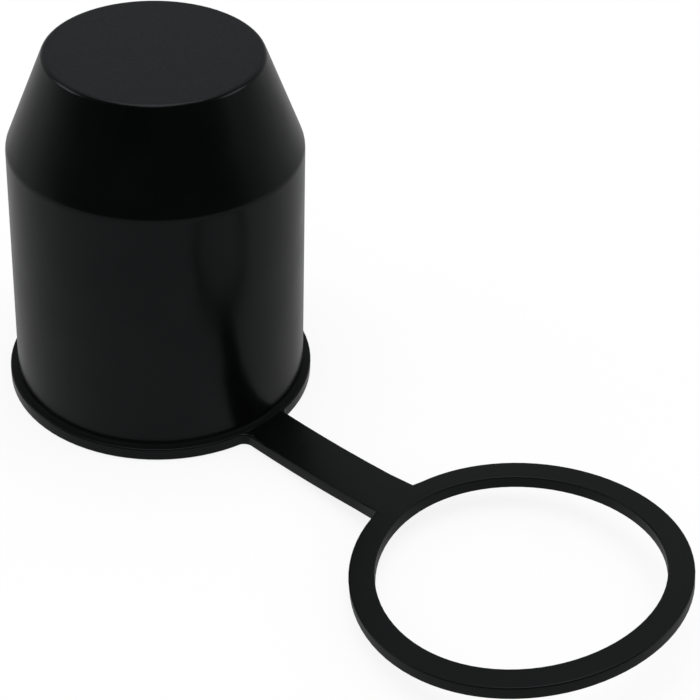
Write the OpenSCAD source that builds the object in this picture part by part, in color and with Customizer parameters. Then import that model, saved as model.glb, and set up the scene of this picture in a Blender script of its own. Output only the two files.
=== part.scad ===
// Tow ball cover: a soft moulded cap for a 50 mm coupling ball, with a strap and a neck ring.
// Millimetres, +Z up. Origin on the cap's axis at its mouth, +X along the strap.
// The strap and the ring sit in their relaxed set: bent up gently from the flange and twisted a little.

/* [Cap] */

// Radius of the straight bore that slides over the ball
bore_r = 25.3; // [25.1:0.1:25.6]

// Height of the straight part of the bore
bore_h = 20; // [12:1:30]

// Thickness of the wall at the mouth
mouth_wall = 2.5; // [2.1:0.05:3.2]

// Taper of the outer wall, degrees
draft = 1; // [0.5:0.05:2]

// Height at which the shoulder begins
crease_z = 50.8; // [46:0.2:54]

// How far the shoulder draws in up to the flat crown
shoulder_in = 7.4; // [5:0.05:10]

// Height over the crown
cap_h = 69.1; // [64:0.1:76]

// Thickness of the wall in the upper cap and the shoulder
wall = 2; // [1.6:0.1:2.4]

// Thickness of the crown
crown_t = 2.6; // [2:0.1:3.5]

// Rounding of the shoulder's lower edge
crease_round = 3; // [1:0.5:5]

// Rounding of the crown's edge
crown_round = 1.1; // [0.5:0.1:2]

// Rounding inside the shoulder and the crown
inner_round = 1.5; // [0.5:0.5:3]

/* [Flange] */

// How far the flange stands out from the cap
flange_out = 1.45; // [0.9:0.05:2.5]

// Thickness of the flange
flange_t = 2.5; // [2.2:0.1:3.2]

// Rounding where the flange meets the cap's wall
flange_root_round = 0.4; // [0.2:0.1:0.5]

/* [Strap] */

// Length of the strap between the flange and the ring, measured level
strap_len = 33.35; // [28:0.5:45]

// Width of the strap
strap_w = 9.6; // [7:0.1:11]

// How much thinner than the flange the strap and the ring are
strap_relief = 0.1; // [0.05:0.05:0.3]

// Upward bend of the strap, degrees
strap_bend = 7.8; // [4:0.1:12]

// Twist between the flange and the ring, degrees
strap_twist = 2.3; // [1:0.1:4]

// Rounding of the corners between strap and flange
corner_round = 1.9; // [1:0.1:3]

/* [Neck ring] */

// Radius of the ring's eye, which goes round the ball's neck
eye_r = 24.45; // [22:0.1:25]

// Width of the ring's band
ring_w = 4.45; // [3:0.1:6]

/* [Edges] */

// Small rounding on the edges of flange, strap and ring
edge_round = 0.3; // [0.2:0.05:0.6]

/* [Hidden] */

// Widest step of a rounded corner, for small and for large roundings, degrees
small_step = 30;
large_step = 15;
small_round = 1;

// Steps of a full turn, fewest steps of a rounded corner, the overrun that adds no step,
// and steps of a full turn at the wide bend of the strap
turn_fn = 128;
min_steps = 3;
step_slack = 0.01;
bend_fn = 360;

// Outer wall: radius at the mouth, at the flange's top, at the shoulder and at the crown
mouth_r = bore_r + mouth_wall;
wall_foot_r = mouth_r - flange_t * tan(draft);
crease_r = mouth_r - crease_z * tan(draft);
crown_r = crease_r - shoulder_in;
flange_r = mouth_r + flange_out;

// Inside of the shoulder, parallel to the outside
shoulder_slope = atan2(shoulder_in, cap_h - crease_z);
crease_in_r = crease_r - wall;
crease_in_z = crease_z - wall * tan(shoulder_slope / 2);
crown_in_z = cap_h - crown_t;
crown_in_r = crown_r + crown_t * tan(shoulder_slope) - wall / cos(shoulder_slope);

// The strap's bend begins inside the cap's wall and ends in the middle of the ring's band
strap_t = flange_t - strap_relief;
strap_inset = flange_out + mouth_wall / 2;
bend_x = flange_r - strap_inset;
ring_r = eye_r + ring_w;
ring_mid_r = eye_r + ring_w / 2;
ring_x = flange_r + strap_len + ring_r * cos(strap_bend);
bend_end_x = ring_x - ring_mid_r * cos(strap_bend);

// Radius of the bend at the strap's underside
bend_r = (bend_end_x - bend_x) / sin(strap_bend);

// Lift that keeps the twisted root clear of the ground
root_lift = strap_w / 2 * sin(strap_twist / 2);

// Centre and section of a corner rounding between flange and strap.
// It bites a little into both, stays a little below their faces, and reaches inside them.
corner_bite = 0.02;
corner_reach = 0.6;
corner_t = flange_t - 2 * corner_bite;
corner_y = strap_w / 2 + corner_round - corner_bite;
corner_a = asin(corner_y / (flange_r + corner_round - corner_bite));
corner_x = corner_y / tan(corner_a);

function unit(v) = v / norm(v);

function flat(p) = [p[0], p[1]];

// Points of the arc that rounds corner b, on the way from a to c
function arc_points(a, b, c, r) =
    let(
        u = unit(a - b),
        v = unit(c - b),
        half = acos(u * v) / 2,
        turn = 180 - 2 * half,
        step = r < small_round ? small_step : large_step,
        steps = max(min_steps, ceil(turn / step - step_slack)),
        mid = b + unit(u + v) * r / sin(half),
        from = b + u * r / tan(half) - mid,
        to = b + v * r / tan(half) - mid
    )
    [for (i = [0 : steps])
        mid + (from * sin(turn * (1 - i / steps)) + to * sin(turn * i / steps)) / sin(turn)];

// Closed outline through corners [x, y, rounding]
function outline(k) =
    let(n = len(k))
    [for (i = [0 : n - 1])
        each k[i][2] > 0
            ? arc_points(flat(k[(i + n - 1) % n]), flat(k[i]), flat(k[(i + 1) % n]), k[i][2])
            : [flat(k[i])]];

// Bar section from x0 to x1 and h high, with its edges rounded
module bar_section(x0, x1, h) {
    polygon(outline([
        [x0, 0, edge_round],
        [x1, 0, edge_round],
        [x1, h, edge_round],
        [x0, h, edge_round]
    ]));
}

// Cap with its flange: one turned wall, open at the mouth
module cap() {
    rotate_extrude($fn = turn_fn)
        polygon(outline([
            [bore_r, 0, 0],
            [flange_r, 0, edge_round],
            [flange_r, flange_t, edge_round],
            [wall_foot_r, flange_t, flange_root_round],
            [crease_r, crease_z, crease_round],
            [crown_r, cap_h, crown_round],
            [0, cap_h, 0],
            [0, crown_in_z, 0],
            [crown_in_r, crown_in_z, inner_round],
            [crease_in_r, crease_in_z, inner_round],
            [bore_r, bore_h, 0]
        ]));
}

// Rounding of the corner between flange and strap, on the +Y side
module corner() {
    translate([corner_x, corner_y, corner_bite])
        rotate([0, 0, 180 + corner_a])
            rotate_extrude(angle = 90 - corner_a, $fn = turn_fn)
                polygon(outline([
                    [corner_round, 0, edge_round],
                    [corner_round + corner_reach, 0, 0],
                    [corner_round + corner_reach, corner_t, 0],
                    [corner_round, corner_t, edge_round]
                ]));
}

// Bent strap, from the origin along +X, its underside level there at z = 0
module strap() {
    translate([0, 0, bend_r])
        rotate([90, 90, 0])
            rotate_extrude(angle = strap_bend, $fn = bend_fn)
                translate([bend_r - strap_t, -strap_w / 2])
                    bar_section(0, strap_t, strap_w);
}

module neck_ring() {
    rotate_extrude($fn = turn_fn)
        bar_section(eye_r, ring_r, strap_t);
}

// Turns its children about the strap's middle line
module twisted(a) {
    translate([0, 0, strap_t / 2])
        rotate([a, 0, 0])
            translate([0, 0, -strap_t / 2])
                children();
}

// Strap and ring, each taking half of the twist
module tail() {
    translate([bend_x, 0, root_lift])
        twisted(strap_twist / 2) {
            strap();
            translate([bend_r * sin(strap_bend), 0, bend_r * (1 - cos(strap_bend))])
                rotate([0, -strap_bend, 0])
                    translate([ring_mid_r, 0, 0])
                        twisted(strap_twist / 2)
                            neck_ring();
        }
}

module cover() {
    color([0.035, 0.038, 0.036])
        union() {
            cap();
            corner();
            mirror([0, 1, 0])
                corner();
            tail();
        }
}

cover();
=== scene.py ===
"""Tow ball cover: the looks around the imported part. Metres, +Z up, +X along the strap."""

import math

import bmesh
import bpy
from mathutils import Matrix, Vector


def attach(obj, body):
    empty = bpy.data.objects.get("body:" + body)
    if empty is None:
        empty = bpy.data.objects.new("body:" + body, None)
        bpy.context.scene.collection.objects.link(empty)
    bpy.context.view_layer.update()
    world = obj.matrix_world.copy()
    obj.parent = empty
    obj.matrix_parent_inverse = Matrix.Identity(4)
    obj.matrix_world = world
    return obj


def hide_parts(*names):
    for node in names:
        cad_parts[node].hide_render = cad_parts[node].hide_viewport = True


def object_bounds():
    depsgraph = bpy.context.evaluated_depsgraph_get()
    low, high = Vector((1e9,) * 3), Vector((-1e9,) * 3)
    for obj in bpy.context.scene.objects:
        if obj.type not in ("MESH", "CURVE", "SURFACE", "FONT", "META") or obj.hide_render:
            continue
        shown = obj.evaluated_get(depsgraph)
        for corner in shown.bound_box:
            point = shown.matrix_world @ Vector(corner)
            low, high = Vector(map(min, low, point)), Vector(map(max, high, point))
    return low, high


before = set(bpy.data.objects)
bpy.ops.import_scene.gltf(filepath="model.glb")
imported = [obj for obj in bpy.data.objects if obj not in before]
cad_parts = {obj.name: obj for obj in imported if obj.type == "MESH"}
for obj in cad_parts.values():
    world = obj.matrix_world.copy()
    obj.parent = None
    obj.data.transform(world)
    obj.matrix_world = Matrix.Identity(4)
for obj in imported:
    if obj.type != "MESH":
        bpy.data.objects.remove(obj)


def plain(bounds):
    return [[float(v) for v in corner] for corner in bounds]


cad_box = plain(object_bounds())

# Solid cover: height and flange radius from the frame, the others as in the part's source
CAP_H = cad_box[1][2]
FLANGE_R = -cad_box[0][0]
FLANGE_T = 0.0025
STRAP_T = 0.0024
STRAP_BEND = 7.8
STRAP_TWIST = 2.3
RING_CENTRE = Vector((0.09107, -0.00012, 0.00751))

# The ring's own directions: off its plane, across the strap and along it
HALF_TWIST = Matrix.Rotation(math.radians(STRAP_TWIST / 2), 3, "X")
BEND = Matrix.Rotation(math.radians(-STRAP_BEND), 3, "Y")
RING_NORMAL = HALF_TWIST @ BEND @ HALF_TWIST @ Vector((0, 0, 1))
RING_ACROSS = RING_NORMAL.cross(Vector((1, 0, 0))).normalized()
RING_ALONG = RING_ACROSS.cross(RING_NORMAL).normalized()

# Relaxed set of the soft strap and ring, beyond the bend and twist of the solid:
# it grows between two places along X, lifts the ring to a saddle and draws it to one side
SET_START = FLANGE_R
SET_END = 0.0623
SADDLE = 0.00066
SIDE_SHIFT = -0.00054

# Flush joint of strap and ring: from the ring's middle, its near and far ends and its half width,
# and how far off the ring's top or underside a point may lie to be brought level with it
JOINT_NEAR = 0.0257
JOINT_FAR = 0.0297
JOINT_HALF_W = 0.0052
JOINT_GAP = 0.0003

# Vertices nearer than the first are merged, and edges shorter than the second are dissolved
SLIVER = 0.00004
TINY = 1e-6

# Pigment: dark and pale clouds of the walls, dark and pale specks of the crown
WALL_DARK = (0.0009, 0.0011, 0.0011, 1)
WALL_PALE = (0.0016, 0.0018, 0.0017, 1)
CROWN_DARK = (0.0032, 0.0037, 0.0044, 1)
CROWN_PALE = (0.0066, 0.0073, 0.0082, 1)

# Gloss: strength, tint, and roughness of clean and smudged walls, ring, crown and root
IOR = 1.5
SPECULAR = 0.2
GLOSS_TINT = (0.91, 0.97, 1.0, 1)
WALL_CLEAN = 0.21
WALL_SMUDGED = 0.27
RING_MATTE = 0.38
CROWN_MATTE = 0.5
ROOT_MATTE = 0.75

# The crown's finish fades in between these heights, measured from the top
CROWN_FADE = (-0.00025, -0.00003)

# The dull root above the flange fades in and out between these heights, measured from the
# flange's top, and fades out between these radii, measured from the flange's rim
ROOT_IN = (-0.00005, 0.00002)
ROOT_OUT = (0.0003, 0.0007)
ROOT_RIM = (-0.0004, 0.0)

# Noise patterns: waves per metre, detail and roughness of the pattern
CLOUDS = (90.0, 3.0, 0.5)
SPECKS = (1900.0, 3.0, 0.7)
SMUDGES = (60.0, 4.0, 0.6)
GRAIN = (2600.0, 2.0, 0.6)
UNEVEN = (140.0, 2.0, 0.5)

# Noise values between which a pattern turns from its first look to its second
CLOUD_SPAN = (0.35, 0.65)
SPECK_SPAN = (0.38, 0.62)
SMUDGE_SPAN = (0.3, 0.7)

# Relief: share of the grain on walls and crown, strength and depth
WALL_GRAIN = 0.10
CROWN_GRAIN = 0.7
RELIEF = 0.25
RELIEF_DEPTH = 0.00012

# Studio. The floor lies a hair below the mouth, so that the two faces don't flicker
FLOOR_Z = -0.0001
FLOOR_HALF = 3
FLOOR_PAINT = (0.9, 0.9, 0.9, 1)
FLOOR_WHITE_SHARE = 0.85
WHITE = (1, 1, 1, 1)
PLAIN_LIGHT = 0.7

# White that reflections see. The room darkens towards one fixed side: its direction,
# and the cosines to it between which the white fades to the dark
GLOSS_WHITE = 0.39
GLOSS_DARK = 0.02
DARK_SIDE = (0.667, -0.745, 0.0)
DARK_FADE = (-0.70, 0.40)

# Soft lights: name, place, aim, width, height and watts
LIGHTS = [
    ("top_soft", (0.0, 0.0, 1.1), (0.03, 0.0, 0.0), 0.8, 0.8, 5.0),
    ("left_soft", (-0.75, -0.70, 0.50), (0.03, 0.0, 0.03), 0.5, 0.4, 1.6),
    ("right_soft", (0.80, 0.75, 0.50), (0.03, 0.0, 0.03), 0.5, 0.4, 1.6),
]

# Camera: place, heading from +X, downward tilt and roll in degrees, focal length in photo pixels
CAM_AT = (0.21647, -0.18633, 0.21965)
CAM_HEADING = 131.857
CAM_TILT = 37.047
CAM_ROLL = 3.020
FOCAL_PX = 1816.3
PHOTO_PX = 700
SENSOR_MM = 36
CLIP_START = 0.01


# Node helpers
def new_material(name):
    mat = bpy.data.materials.new(name)
    mat.use_nodes = True
    tree = mat.node_tree
    tree.nodes.clear()
    return mat, tree


def add(tree, kind, **values):
    node = tree.nodes.new(kind)
    for key, value in values.items():
        setattr(node, key, value)
    return node


def feed(tree, socket, value):
    """A socket gets a link or a constant."""
    if isinstance(value, bpy.types.NodeSocket):
        tree.links.new(value, socket)
    else:
        socket.default_value = value


def maths(tree, operation, a, b):
    node = add(tree, "ShaderNodeMath", operation=operation)
    feed(tree, node.inputs[0], a)
    feed(tree, node.inputs[1], b)
    return node.outputs[0]


def noise(tree, coords, scale, detail, rough):
    node = add(tree, "ShaderNodeTexNoise", noise_dimensions="3D")
    tree.links.new(coords, node.inputs["Vector"])
    node.inputs["Scale"].default_value = scale
    node.inputs["Detail"].default_value = detail
    node.inputs["Roughness"].default_value = rough
    return node.outputs["Fac"]


def ramp(tree, value, span, a, b, base=0.0):
    """a up to the span's first value, b from its second on, straight between. Base shifts the span."""
    node = add(tree, "ShaderNodeMapRange", clamp=True)
    feed(tree, node.inputs["Value"], value)
    feed(tree, node.inputs["From Min"], base + span[0])
    feed(tree, node.inputs["From Max"], base + span[1])
    feed(tree, node.inputs["To Min"], a)
    feed(tree, node.inputs["To Max"], b)
    return node.outputs["Result"]


def between(tree, share, a, b):
    """a where the share is 0, b where it is 1."""
    return ramp(tree, share, (0.0, 1.0), a, b)


def mix_colour(tree, factor, a, b):
    node = add(tree, "ShaderNodeMix", data_type="RGBA")
    feed(tree, node.inputs["Factor"], factor)
    feed(tree, node.inputs["A"], a)
    feed(tree, node.inputs["B"], b)
    return node.outputs["Result"]


def mix_shaders(tree, factor, a, b):
    node = add(tree, "ShaderNodeMixShader")
    feed(tree, node.inputs[0], factor)
    tree.links.new(a.outputs[0], node.inputs[1])
    tree.links.new(b.outputs[0], node.inputs[2])
    return node


# Moulded soft plastic: satin walls, a matte grained crown, a slightly matte ring
def pigment(tree, coords, crown):
    """Faint clouds on the walls, and a greyer, speckled crown."""
    cloud = ramp(tree, noise(tree, coords, *CLOUDS), CLOUD_SPAN, 0.0, 1.0)
    speck = ramp(tree, noise(tree, coords, *SPECKS), SPECK_SPAN, 0.0, 1.0)
    wall_tint = mix_colour(tree, cloud, WALL_DARK, WALL_PALE)
    crown_tint = mix_colour(tree, speck, CROWN_DARK, CROWN_PALE)
    return mix_colour(tree, crown, wall_tint, crown_tint)


def dull_root(tree, place):
    """1 in the sharp corner between flange and wall, which isn't polished and catches no light."""
    above = ramp(tree, place["Z"], ROOT_IN, 0.0, 1.0, base=FLANGE_T)
    near = ramp(tree, place["Z"], ROOT_OUT, above, 0.0, base=FLANGE_T)
    level = add(tree, "ShaderNodeCombineXYZ")
    tree.links.new(place["X"], level.inputs["X"])
    tree.links.new(place["Y"], level.inputs["Y"])
    radius = add(tree, "ShaderNodeVectorMath", operation="LENGTH")
    tree.links.new(level.outputs[0], radius.inputs[0])
    return ramp(tree, radius.outputs["Value"], ROOT_RIM, near, 0.0, base=FLANGE_R)


def satin(tree, coords, place, crown):
    """Satin walls with smudges of handling, turning matte towards the ring, the root and the crown."""
    rough = ramp(tree, noise(tree, coords, *SMUDGES), SMUDGE_SPAN, WALL_CLEAN, WALL_SMUDGED)
    rough = ramp(tree, place["X"], (SET_START, SET_END), rough, RING_MATTE)
    rough = between(tree, dull_root(tree, place), rough, ROOT_MATTE)
    return between(tree, crown, rough, CROWN_MATTE)


def relief(tree, coords, crown):
    """Mould grain, strong on the crown, over slow unevenness of the soft wall."""
    grain = noise(tree, coords, *GRAIN)
    grain_share = between(tree, crown, WALL_GRAIN, CROWN_GRAIN)
    height = maths(tree, "ADD", maths(tree, "MULTIPLY", grain, grain_share), noise(tree, coords, *UNEVEN))
    bump = add(tree, "ShaderNodeBump")
    bump.inputs["Strength"].default_value = RELIEF
    bump.inputs["Distance"].default_value = RELIEF_DEPTH
    tree.links.new(height, bump.inputs["Height"])
    return bump.outputs["Normal"]


def moulded_black():
    mat, tree = new_material("moulded_black")
    out = add(tree, "ShaderNodeOutputMaterial")
    bsdf = add(tree, "ShaderNodeBsdfPrincipled")
    coords = add(tree, "ShaderNodeTexCoord").outputs["Object"]
    split = add(tree, "ShaderNodeSeparateXYZ")
    tree.links.new(coords, split.inputs[0])
    place = split.outputs
    crown = ramp(tree, place["Z"], CROWN_FADE, 0.0, 1.0, base=CAP_H)
    tree.links.new(pigment(tree, coords, crown), bsdf.inputs["Base Color"])
    tree.links.new(satin(tree, coords, place, crown), bsdf.inputs["Roughness"])
    tree.links.new(relief(tree, coords, crown), bsdf.inputs["Normal"])
    bsdf.inputs["IOR"].default_value = IOR
    bsdf.inputs["Specular Tint"].default_value = GLOSS_TINT
    bsdf.inputs["Specular IOR Level"].default_value = SPECULAR
    tree.links.new(bsdf.outputs["BSDF"], out.inputs["Surface"])
    return mat


# Cover
def relaxed(point):
    """Where a point of the solid lies in the relaxed set, with strap and ring flush where they join."""
    share = min(1.0, max(0.0, (point.x - SET_START) / (SET_END - SET_START)))
    share = share * share * (3 - 2 * share)
    arm = point - RING_CENTRE
    along = arm.dot(RING_ALONG)
    across = arm.dot(RING_ACROSS)
    height = arm.dot(RING_NORMAL)
    in_joint = -JOINT_FAR < along < -JOINT_NEAR and abs(across) < JOINT_HALF_W
    if in_joint and abs(abs(height) - STRAP_T / 2) < JOINT_GAP:
        point = point + RING_NORMAL * (math.copysign(STRAP_T / 2, height) - height)
    wave = (along * along - across * across) / (along * along + across * across)
    return point + share * (SADDLE * wave * RING_NORMAL + Vector((0, SIDE_SHIFT, 0)))


def cover_skin(solid):
    """The solid's shape in its relaxed set, shaded smoothly."""
    mesh = bpy.data.meshes.new("cover_skin")
    shape = bmesh.new()
    shape.from_mesh(solid.data)
    bmesh.ops.remove_doubles(shape, verts=shape.verts, dist=SLIVER)
    bmesh.ops.dissolve_degenerate(shape, edges=shape.edges, dist=TINY)
    for vert in shape.verts:
        if vert.co.x > SET_START:
            vert.co = relaxed(vert.co)
    for face in shape.faces:
        face.smooth = True
    shape.to_mesh(mesh)
    shape.free()
    obj = bpy.data.objects.new("cover_skin", mesh)
    bpy.context.scene.collection.objects.link(obj)
    even = obj.modifiers.new("even_normals", "WEIGHTED_NORMAL")
    even.mode = "FACE_AREA"
    even.weight = 100
    return obj


skin = cover_skin(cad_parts["cover"])
skin.data.materials.append(moulded_black())
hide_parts("cover")
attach(skin, "root")


# Studio: white floor and surroundings for the camera, a dimmer white for reflections,
# and plain light on the object
def seen_rays(tree):
    """Two shares: 1 for camera, reflection and transmission rays, and 1 for reflection rays alone."""
    rays = add(tree, "ShaderNodeLightPath").outputs
    straight = maths(tree, "MAXIMUM", rays["Is Camera Ray"], rays["Is Transmission Ray"])
    return maths(tree, "MAXIMUM", straight, rays["Is Glossy Ray"]), rays["Is Glossy Ray"]


def pale_floor():
    mat, tree = new_material("pale_floor")
    out = add(tree, "ShaderNodeOutputMaterial")
    matte = add(tree, "ShaderNodeBsdfDiffuse")
    matte.inputs["Color"].default_value = FLOOR_PAINT
    white = add(tree, "ShaderNodeEmission")
    seen, glossy = seen_rays(tree)
    feed(tree, white.inputs["Strength"], between(tree, glossy, 1.0, GLOSS_WHITE))
    mix = mix_shaders(tree, maths(tree, "MULTIPLY", seen, FLOOR_WHITE_SHARE), matte, white)
    tree.links.new(mix.outputs[0], out.inputs["Surface"])
    return mat


def floor():
    corners = [(x * FLOOR_HALF, y * FLOOR_HALF, FLOOR_Z) for x, y in ((-1, -1), (1, -1), (1, 1), (-1, 1))]
    mesh = bpy.data.meshes.new("floor")
    mesh.from_pydata(corners, [], [(0, 1, 2, 3)])
    obj = bpy.data.objects.new("floor", mesh)
    bpy.context.scene.collection.objects.link(obj)
    obj.data.materials.append(pale_floor())
    return obj


def studio_world():
    world = bpy.data.worlds.new("studio")
    world.use_nodes = True
    tree = world.node_tree
    tree.nodes.clear()
    out = add(tree, "ShaderNodeOutputWorld")
    light = add(tree, "ShaderNodeBackground")
    light.inputs["Color"].default_value = WHITE
    light.inputs["Strength"].default_value = PLAIN_LIGHT
    room = add(tree, "ShaderNodeBackground")
    room.inputs["Color"].default_value = WHITE
    facing = add(tree, "ShaderNodeVectorMath", operation="DOT_PRODUCT")
    tree.links.new(add(tree, "ShaderNodeTexCoord").outputs["Generated"], facing.inputs[0])
    facing.inputs[1].default_value = DARK_SIDE
    dimmed = ramp(tree, facing.outputs["Value"], DARK_FADE, GLOSS_WHITE, GLOSS_DARK)
    seen, glossy = seen_rays(tree)
    feed(tree, room.inputs["Strength"], between(tree, glossy, 1.0, dimmed))
    mix = mix_shaders(tree, seen, light, room)
    tree.links.new(mix.outputs[0], out.inputs["Surface"])
    return world


def area_light(name, at, aim, width, height, watts):
    data = bpy.data.lights.new(name, "AREA")
    data.shape = "RECTANGLE"
    data.size = width
    data.size_y = height
    data.energy = watts
    obj = bpy.data.objects.new(name, data)
    obj.location = at
    obj.rotation_euler = (Vector(aim) - Vector(at)).to_track_quat("-Z", "Y").to_euler()
    bpy.context.scene.collection.objects.link(obj)


floor()
bpy.context.scene.world = studio_world()
for light in LIGHTS:
    area_light(*light)


# Camera at the photo's place
def photo_camera():
    heading = math.radians(CAM_HEADING)
    tilt = math.radians(CAM_TILT)
    roll = math.radians(CAM_ROLL)
    level = math.cos(tilt)
    forward = Vector((math.cos(heading) * level, math.sin(heading) * level, -math.sin(tilt)))
    right = Vector((math.sin(heading), -math.cos(heading), 0))
    up = right.cross(forward)
    side = right * math.cos(roll) + up * math.sin(roll)
    top = up * math.cos(roll) - right * math.sin(roll)
    data = bpy.data.cameras.new("photo_camera")
    data.sensor_fit = "HORIZONTAL"
    data.sensor_width = SENSOR_MM
    data.lens = FOCAL_PX / PHOTO_PX * SENSOR_MM
    data.clip_start = CLIP_START
    camera = bpy.data.objects.new("photo_camera", data)
    turn = Matrix((side, top, -forward)).transposed().to_4x4()
    camera.matrix_world = Matrix.Translation(CAM_AT) @ turn
    bpy.context.scene.collection.objects.link(camera)
    return camera


bpy.context.scene.camera = photo_camera()
bpy.context.scene.view_settings.view_transform = "Standard"
